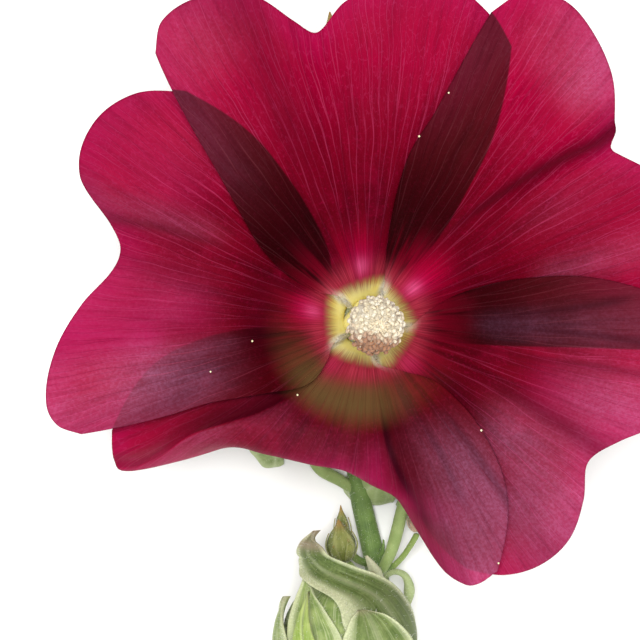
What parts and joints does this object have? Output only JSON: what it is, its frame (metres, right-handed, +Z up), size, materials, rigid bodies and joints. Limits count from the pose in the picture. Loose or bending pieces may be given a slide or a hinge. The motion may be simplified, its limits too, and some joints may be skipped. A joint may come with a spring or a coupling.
{
  "type": "hollyhock flower",
  "caption": "Open deep crimson hollyhock flower with overlapping notched petals, cream anthers, and a cut stalk carrying leaves, green buds and a withered calyx, lying face up.",
  "frame": {"origin": "middle of the flat rest spot on the underside of the stalk, straight below the middle of the open bloom", "axes": "+Z up, the way the bloom faces; +Y along the stalk towards its tip; +X to the right of someone who looks down on the bloom"},
  "size_m": [0.1043, 0.139, 0.0418],
  "materials": {
    "petal": "soft, thin deep crimson petal tissue with fine lighter veins, darker where two petals overlap, yellow-green at its foot",
    "calyx": "downy grey-green sepal",
    "column": "pale yellow-green, smooth and slightly translucent",
    "anther": "cream, powdery with pollen, brownish on the lower side",
    "stalk": "fresh green stem with short pale hairs",
    "leaf": "matt, wrinkled, downy green leaf",
    "bud": "downy green bud with an orange-brown tip",
    "dried_bud": "dry pinkish-brown bract",
    "withered_calyx": "downy green sepals with pale margins"
  },
  "bodies": {
    "root": {"petal_1": "petal", "petal_2": "petal", "petal_3": "petal", "petal_4": "petal", "petal_5": "petal", "calyx": "calyx", "epicalyx": "calyx", "staminal_column": "column", "anthers": "anther", "stalk": "stalk", "leaf_left": "leaf", "leaf_right": "leaf", "bud_side": "bud", "bud_behind": "bud", "bud_dried": "dried_bud", "bud_tip": "bud", "bud_tip_left": "bud", "bud_tip_right": "bud", "stipule_hooked": "leaf", "stipule_left": "leaf", "withered_calyx": "withered_calyx", "withered_epicalyx": "withered_calyx"}
  },
  "joints": []
}
